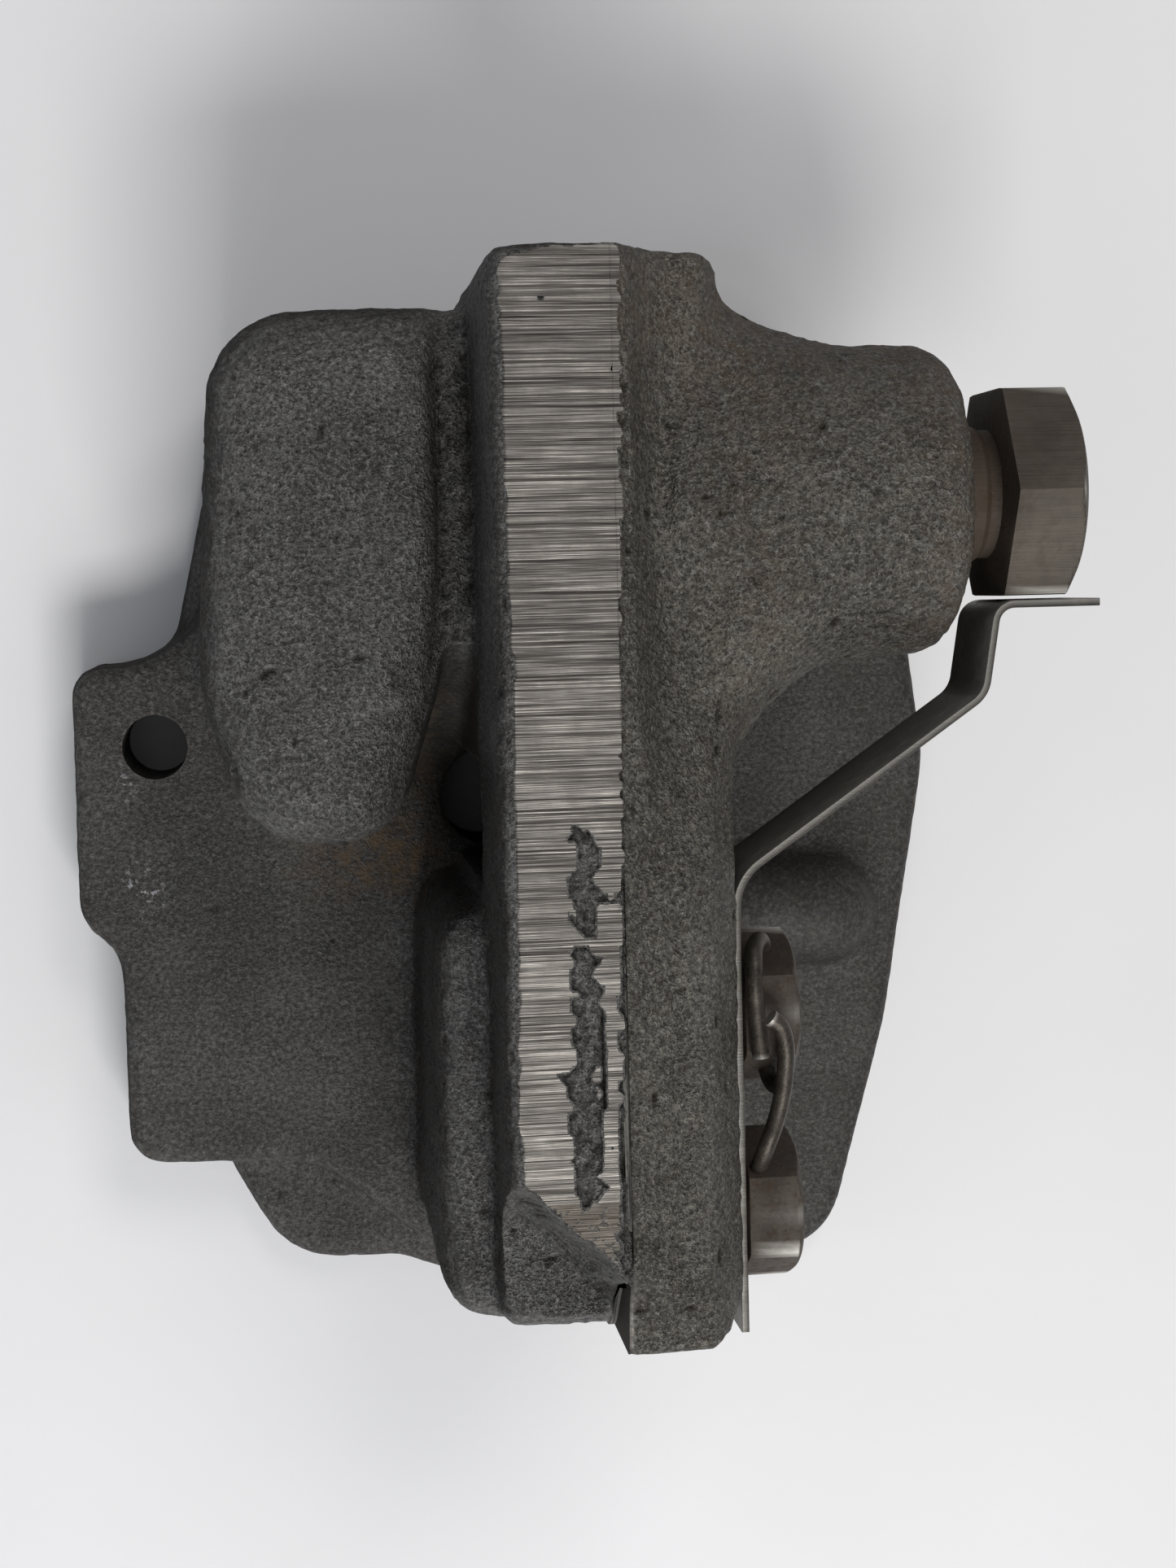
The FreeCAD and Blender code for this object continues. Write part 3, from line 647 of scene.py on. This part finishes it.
def drill(obj, centre, radius, top):
    """Drill a clean hole through a rough casting, with the sharp rim that a drill leaves."""
    steps = 96
    ring = [(centre.x + radius * math.cos(2 * math.pi * k / steps),
             centre.y + radius * math.sin(2 * math.pi * k / steps)) for k in range(steps)]
    points = [(px, py, -1.0) for px, py in ring] + [(px, py, top) for px, py in ring]
    faces = [(k, (k + 1) % steps, (k + 1) % steps + steps, k + steps) for k in range(steps)]
    faces += [tuple(range(steps))[::-1], tuple(range(steps, 2 * steps))]
    bit = bpy.data.objects.new("drill", mesh_from("drill", points, faces))
    scene.collection.objects.link(bit)
    cut = obj.modifiers.new("drill", "BOOLEAN")
    cut.operation = "DIFFERENCE"
    cut.solver = "EXACT"
    cut.object = bit
    graph = bpy.context.evaluated_depsgraph_get()
    made = bpy.data.meshes.new_from_object(obj.evaluated_get(graph))
    obj.modifiers.clear()
    old = obj.data
    obj.data = made
    made.name = old.name + "_drilled"
    bpy.data.meshes.remove(old)
    bpy.data.objects.remove(bit)


def paint_casting(mesh, rusty, specks, grit_of):
    """Store where the casting is ground, rusty, speckled, rough and rubbed, and where shade is painted
    dark into it.
    """
    p = get_points(mesh)
    n = get_normals(mesh)
    level = (n[:, 2] > 0.93) | (np.abs(p[:, 0] - GASKET) < 0.35)
    dull = ramp(p[:, 1] + 0.3 * lattice(p, 1.0, 27), -30.9, -31.5)
    paint(mesh, "ground", (level & (p[:, 2] > GROUND_Z - 0.02)) * (1.0 - 0.42 * dull))
    paint(mesh, "dull", dull)
    paint(mesh, "rust", rusty(p))
    paint(mesh, "speck", specks(p))
    paint(mesh, "grit_and_shade", grit_of(p))
    edges = get_edges(mesh)
    degree = np.maximum(np.bincount(edges.ravel(), minlength=len(p)), 1)
    bend = np.einsum("ij,ij->i", p - neighbour_mean(p, edges, degree), n)
    paint(mesh, "wear", ramp(bend, 0.05, 0.16))
    # Painted shade on the sides: darker where the surface turns from upright, least where it faces -Y
    # towards the lamps, less beside the wall, and half as much past the joint.
    side = ramp(n[:, 2], 0.88, 0.3) * (1.0 - 0.8 * ramp(-n[:, 1], 0.25, 0.7))
    beside_wall = 1.0 - 0.5 * bell(p[:, 0], -11.5, 3.0) * ramp(p[:, 1], 5.0, 10.0)
    side = side * np.where(p[:, 0] > 0.6, 0.5, beside_wall)
    # Painted shade on the walls of the lug hole and the stud hole.
    hole_shade = np.zeros(len(p))
    for centre, radius in ((LUG_HOLE, LUG_HOLE_R), (STUD_HOLE, STUD_HOLE_R)):
        away = np.hypot(p[:, 0] - centre.x, p[:, 1] - centre.y)
        hole_shade = np.maximum(hole_shade, (away < radius + 0.08) & (p[:, 2] < LUG_TOP - 0.1))
    # Painted shade, darker towards the bottom.
    low = 0.46 * ramp(p[:, 2], 26.0, 15.0)
    # Painted shade in all: creases, sides, holes and low parts, kept as the painted shade attribute.
    paint(mesh, "painted_shade", np.max([ramp(bend, -0.02, -0.10), 0.95 * side, hole_shade, low], axis=0))


def body_rust(p):
    x, y, z = p.T
    stain = bell(x, -18, 7) * bell(y, -6.0, 3.5) * ramp(z, 24, 16)
    return 0.95 * stain + 0.6 * bell(x, -14.5, 4) * ramp(z, 46, 30) * bell(y, 6, 9) + 0.1


def body_specks(p):
    x, y, z = p.T
    near_hole = bell(x, -45.2, 1.5) * bell(y, 2.6, 1.8)
    lower = bell(x, -43.3, 2.4) * bell(y, -8.6, 3.4)
    return np.maximum(0.8 * near_hole, lower) * ramp(z, 11, 13)


def cover_rust(p):
    x, y = p[:, 0], p[:, 1]
    ends = 0.4 * bell(x, 34, 6) + 0.3 * bell(y, 46, 8)
    return 0.12 + ends + 0.2 * bell(x, 14, 5) * ramp(y, -10, 20)


def no_specks(p):
    return np.zeros(len(p))


# Hexagons, strap and wire ---------------------------------------------------------------------

ROUND_STEPS = 72

def hexagon_head(x0, x1, y, z, flats, turn):
    """Rings of a hexagon head along X: its outer face is turned off to a cone, slightly dished."""
    corner = flats / math.sqrt(3.0)
    face_r = flats / 2.0 - 0.35
    run = (corner - face_r) * math.tan(math.radians(30.0))
    stations = [(x0, flats / 2.0 - 0.25), (x0 + 0.12, corner)]
    for k in range(11):
        stations.append((x1 - run + run * k / 10.0, corner - (corner - face_r) * k / 10.0))
    stations += [(x1 + 0.02, face_r - 0.3), (x1 - 0.05, face_r * 0.6), (x1 - 0.1, face_r * 0.2)]
    rings = []
    for x, limit in stations:
        angles = [2 * math.pi * k / ROUND_STEPS for k in range(ROUND_STEPS)]
        rings.append([hexagon_point(x, y, z, flats, turn, angle, limit) for angle in angles])
    return rings


def hexagon_point(x, y, z, flats, turn, angle, limit):
    local = (angle - turn) % (math.pi / 3.0)
    apothem = flats / 2.0
    radius = apothem / math.cos(local - math.pi / 6.0)
    corner = flats / math.sqrt(3.0)
    radius = min(radius, corner - 0.12, limit)
    return (x, y + radius * math.cos(angle), z + radius * math.sin(angle))


def lathe_rings(stations, y, z, depth_at):
    """Rings of a round shank along X, with depth_at added to each radius."""
    rings = []
    for x, r in stations:
        ring = []
        for k in range(ROUND_STEPS):
            a = 2 * math.pi * k / ROUND_STEPS
            rr = r + depth_at(x, a)
            ring.append((x, y + rr * math.cos(a), z + rr * math.sin(a)))
        rings.append(ring)
    return rings


def skin_rings(name, rings, angle=28):
    """Join rings of points into a closed mesh with a cap at each end."""
    steps = len(rings[0])
    points = [p for ring in rings for p in ring]
    faces = []
    for i in range(len(rings) - 1):
        for k in range(steps):
            a = i * steps + k
            b = i * steps + (k + 1) % steps
            faces.append((a, b, b + steps, a + steps))
    faces.append(tuple(range(steps))[::-1])
    last = (len(rings) - 1) * steps
    faces.append(tuple(range(last, last + steps)))
    mesh = mesh_from(name, points, faces, angle)
    fix = bmesh.new()
    fix.from_mesh(mesh)
    bmesh.ops.recalc_face_normals(fix, faces=fix.faces)
    fix.to_mesh(mesh)
    fix.free()
    return mesh


def screw_mesh(name, tip, seat, end, y, z, shank_r, flats, turn, pitch, plain):
    """A hexagon screw along X, with a thread on its shank that stops short of its head."""
    shank = [(tip, shank_r - 1.0), (tip + 0.6, shank_r - 0.4)]
    count = int((seat - plain - 1.0 - tip) / (pitch / 6.0))
    for k in range(count):
        shank.append((tip + 0.8 + k * pitch / 6.0, shank_r - 0.02))
    shank += [(seat - plain + 0.2, shank_r), (seat - 1.6, shank_r)]
    shank += [(seat - 1.1, shank_r - 0.35), (seat - 0.1, shank_r - 0.3)]

    def thread(x, a):
        inside = tip + 0.7 < x < seat - plain - 0.5
        phase = (x / pitch + a / (2 * math.pi)) % 1.0
        return -0.55 * pitch * abs(2 * phase - 1.0) if inside else 0.0

    rings = lathe_rings(shank, y, z, thread)
    mesh = skin_rings(name, rings + hexagon_head(seat, end, y, z, flats, turn))
    p = get_points(mesh)
    away = np.hypot(p[:, 1] - y, p[:, 2] - z)
    corner = flats / math.sqrt(3.0)
    wear = ramp(away, corner - 0.5, corner - 0.15) * ramp(p[:, 0], end - 2.0, end - 0.6)
    wear = wear * ramp(lattice(p, 1.7, 31), 0.1, 0.5)
    nick = bell(p[:, 1], y, 0.8) * ramp(p[:, 2], z + corner - 1.2, z + corner - 0.6)
    wear = np.maximum(wear, 0.6 * nick * ramp(p[:, 0], end - 1.0, end - 0.6))
    paint(mesh, "wear", wear)
    paint(mesh, "rust", 0.8 * ramp(p[:, 0], seat + 0.3, seat - 0.3))
    return mesh


def strap_mesh():
    """The lock strap: a sheared strip bent along its length, with a bright burr on its upper edge."""
    low, high = [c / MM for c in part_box("lock_strap")]
    tab = high.y - STRAP_THICK / 2
    face = low.x + STRAP_THICK / 2
    line = rounded_line([
        (high.x, tab, 0), (37.4, tab, 1.8), (36.1, 11.5, 3.0), (face, -4.8, 5.0), (face, low.y, 0)])
    section = [
        (-0.3, low.z), (-0.36, low.z + 0.12), (-0.36, high.z - 0.12), (-0.28, high.z), (0.28, high.z),
        (0.36, high.z - 0.15), (0.36, low.z + 0.12), (0.3, low.z)]
    rings = []
    for i, (x, y) in enumerate(line):
        ahead = line[min(i + 1, len(line) - 1)]
        behind = line[max(i - 1, 0)]
        tangent = Vector((ahead[0] - behind[0], ahead[1] - behind[1])).normalized()
        side = Vector((-tangent.y, tangent.x))
        rings.append([(x + side.x * dn, y + side.y * dn, z) for dn, z in section])
    mesh = skin_rings("lock_strap_steel", rings, 35)
    burr = np.array([0.35 if k in (2, 3) else 0.0 for k in range(len(section))])
    paint(mesh, "wear", np.tile(burr, len(rings)))
    return mesh


def rounded_line(corners):
    """Points along straight runs through (x, y, radius) corners, with an arc at each."""
    line = [corners[0][:2]]
    for i in range(1, len(corners) - 1):
        here = Vector(corners[i][:2])
        before = (Vector(corners[i - 1][:2]) - here).normalized()
        after = (Vector(corners[i + 1][:2]) - here).normalized()
        half = before.angle(after) / 2
        radius = corners[i][2]
        centre = here + (before + after).normalized() * radius / math.sin(half)
        start = here + before * radius / math.tan(half) - centre
        end = here + after * radius / math.tan(half) - centre
        sweep = start.angle_signed(end)
        for k in range(9):
            turned = Matrix.Rotation(-sweep * k / 8, 2) @ start
            line.append(tuple(centre + turned))
    line.append(corners[-1][:2])
    return line


def wire_pieces(name, routes, radius):
    """Soft iron wire along smooth paths, with bright cut ends."""
    data = bpy.data.curves.new(name, "CURVE")
    data.dimensions = "3D"
    for route in routes:
        spline = data.splines.new("BEZIER")
        spline.bezier_points.add(len(route) - 1)
        for point, place in zip(spline.bezier_points, route):
            point.co = Vector(place) * MM
            point.handle_left_type = point.handle_right_type = "AUTO"
    data.bevel_depth = radius * MM
    data.bevel_resolution = 6
    data.resolution_u = 10
    data.use_fill_caps = True
    work = bpy.data.objects.new(name + "_work", data)
    scene.collection.objects.link(work)
    graph = bpy.context.evaluated_depsgraph_get()
    mesh = bpy.data.meshes.new_from_object(work.evaluated_get(graph))
    bpy.data.objects.remove(work)
    mesh.name = name
    shade(mesh, 50)
    p = get_points(mesh)
    near = np.min([np.linalg.norm(p - np.array(route[0]), axis=1) for route in routes], axis=0)
    paint(mesh, "wear", 0.5 * ramp(near, radius * 1.15, radius * 0.95))
    return mesh


# Put the object together ----------------------------------------------------------------------

body_iron = cast_iron("body_iron", (0.040, 0.0392, 0.0376), (0.215, 0.213, 0.205))
cover_iron = cast_iron("cover_iron", (0.043, 0.0398, 0.0344), (0.225, 0.213, 0.186))
materials = {
    "body_iron": body_iron,
    "cover_iron": cover_iron,
    "gasket_sheet": gasket_sheet(),
    "rusty_steel": plain_metal(
        "rusty_steel", (0.024, 0.018, 0.013), (0.068, 0.055, 0.043), 0.66, 0.3, 0.9, None, 0.6),
    "screw_steel": plain_metal(
        "screw_steel", (0.044, 0.036, 0.028), (0.096, 0.081, 0.065), 0.52, 0.5, 2.0, (0, 0, 0), 0.2),
    "strap_steel": plain_metal(
        "strap_steel", (0.018, 0.016, 0.013), (0.065, 0.058, 0.049), 0.46, 0.6, 1.5, (0, 0, 33), 0.35),
    "wire_steel": plain_metal(
        "wire_steel", (0.028, 0.024, 0.02), (0.095, 0.083, 0.07), 0.45, 0.7, 0.8, None, 0.3),
    "spring_steel": plain_metal("spring_steel", (0.10, 0.10, 0.10), (0.25, 0.25, 0.26), 0.35, 0.95),
    "float_steel": plain_metal("float_steel", (0.30, 0.30, 0.31), (0.52, 0.52, 0.53), 0.3, 0.95),
    "valve_brass": plain_metal("valve_brass", (0.34, 0.23, 0.08), (0.58, 0.43, 0.18), 0.32, 0.95),
    "seal_rubber": rubber("seal_rubber"),
}

body = add_object("body_casting_iron", body_mesh(), "housing", ["body_casting"])
drill(body, LUG_HOLE, LUG_HOLE_R, LUG_TOP + 3.0)
drill(body, STUD_HOLE, STUD_HOLE_R, LUG_TOP + 1.0)
paint_casting(body.data, body_rust, body_specks, body_grit)
cover = add_object(
    "cover_casting_iron", cover_mesh(), "housing", ["cover_casting", "spring_housing"])
paint_casting(cover.data, cover_rust, no_specks, cover_grit)
for casting, material in ((body, body_iron), (cover, cover_iron)):
    casting.data.materials.append(material)
    shade(casting.data, 32)

adjusting = screw_mesh(
    "adjusting_screw_steel", ADJUSTING_TIP, ADJUSTING_SEAT, ADJUSTING_END, RELIEF_Y, RELIEF_Z,
    ADJUSTING_R, ADJUSTING_FLATS, math.radians(90), pitch=1.8, plain=5.0)
adjusting.materials.append(materials["screw_steel"])
add_object("adjusting_screw_steel", adjusting, "screw", ["adjusting_screw"])

for node in ("cap_screw_upper", "cap_screw_lower"):
    low, high = [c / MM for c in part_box(node)]
    mid_y = (low.y + high.y) / 2
    mid_z = (low.z + high.z) / 2
    screw = screw_mesh(
        node + "_steel", low.x, high.x - CAP_HEAD, high.x, mid_y, mid_z,
        CAP_R, CAP_FLATS, 0.0, pitch=1.25, plain=1.6)
    screw.materials.append(materials["rusty_steel"])
    add_object(node + "_steel", screw, "housing", [node])

strap = strap_mesh()
strap.materials.append(materials["strap_steel"])
add_object("lock_strap_steel", strap, "housing", ["lock_strap"])

wire_loop = [
    (14.15, -21.1, 57.2), (13.8, -16.5, 57.15), (13.7, -12.6, 57.0), (14.1, -11.0, 55.6),
    (15.0, -10.8, 53.8), (15.5, -12.6, 52.6), (15.55, -18.0, 52.6), (15.6, -23.4, 52.8),
    (16.2, -24.4, 54.6), (16.5, -22.6, 56.6), (16.5, -20.6, 57.6)]
wire_run = [
    (14.75, -17.1, 59.0), (15.5, -17.7, 58.9), (16.15, -19.2, 58.4), (16.25, -22.2, 57.9),
    (15.65, -26.0, 57.5), (14.5, -29.4, 57.2), (14.2, -31.4, 55.4), (14.9, -33.6, 50.3)]
wire = wire_pieces("lock_wire_steel", [wire_loop, wire_run], WIRE_R)
wire.materials.append(materials["wire_steel"])
add_object("lock_wire_steel", wire, "housing", ["lock_wire"])

spring_mesh = nodes["relief_spring"].data.copy()
spring_mesh.name = "relief_spring_coil"
spring_mesh.materials.clear()
spring_mesh.materials.append(materials["spring_steel"])
spring = add_object("relief_spring_coil", spring_mesh, "housing", ["relief_spring"])
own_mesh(spring)

slot_of = {row["node"]: row["material_slot"] for row in frame["record"]["subparts"]}
for node, obj in nodes.items():
    obj.data.materials.clear()
    obj.data.materials.append(materials[slot_of[node]])

# Floor, light and camera ----------------------------------------------------------------------

FLOOR_HALF = 1500
FLOOR_Z = -0.05
floor_signs = ((-1, -1), (1, -1), (1, 1), (-1, 1))
floor_corners = [(x * FLOOR_HALF, y * FLOOR_HALF, FLOOR_Z) for x, y in floor_signs]
floor = bpy.data.objects.new("floor", mesh_from("floor", floor_corners, [(0, 1, 2, 3)]))
scene.collection.objects.link(floor)
floor.data.materials.append(floor_paint())


def area_light(name, place, target, size, power, colour):
    data = bpy.data.lights.new(name, "AREA")
    data.shape = "RECTANGLE"
    data.size, data.size_y = size[0] * MM, size[1] * MM
    data.energy = power
    data.color = colour
    lamp = bpy.data.objects.new(name, data)
    lamp.location = Vector(place) * MM
    lamp.rotation_euler = (Vector(target) - Vector(place)).to_track_quat("-Z", "Y").to_euler()
    scene.collection.objects.link(lamp)


area_light("window", (60, -470, 700), (0, 0, 25), (320, 240), 4.0, (1.0, 0.99, 0.97))
area_light("back", (230, 460, 740), (0, 0, 25), (420, 300), 1.9, (1.0, 0.975, 0.94))
area_light("low_window", (-60, -800, 420), (0, 0, 25), (500, 200), 1.7, (0.95, 0.98, 1.0))
area_light("side", (-620, -60, 300), (0, 0, 30), (200, 200), 0.25, (0.55, 0.72, 1.0))

world = bpy.data.worlds.new("studio")
world.use_nodes = True
world.node_tree.nodes["Background"].inputs["Color"].default_value = (0.95, 0.96, 1.0, 1.0)
world.node_tree.nodes["Background"].inputs["Strength"].default_value = 0.27
scene.world = world
scene.view_settings.view_transform = "Standard"

CAMERA_AT = Vector((-28.35, 22.49, 281.9))
CAMERA_RIGHT = Vector((0.99219, -0.02528, 0.12211))
CAMERA_UP = Vector((0.03465, 0.99657, -0.07518))
camera_data = bpy.data.cameras.new("camera")
camera_data.sensor_fit = "AUTO"
camera_data.sensor_width = 36.0
camera_data.lens = 57.91
camera_data.clip_start = 0.01
camera = bpy.data.objects.new("camera", camera_data)
back = CAMERA_RIGHT.cross(CAMERA_UP)
facing = Matrix((CAMERA_RIGHT, CAMERA_UP, back)).transposed()
camera.matrix_world = Matrix.Translation(CAMERA_AT * MM) @ facing.to_4x4()
scene.collection.objects.link(camera)
scene.camera = camera
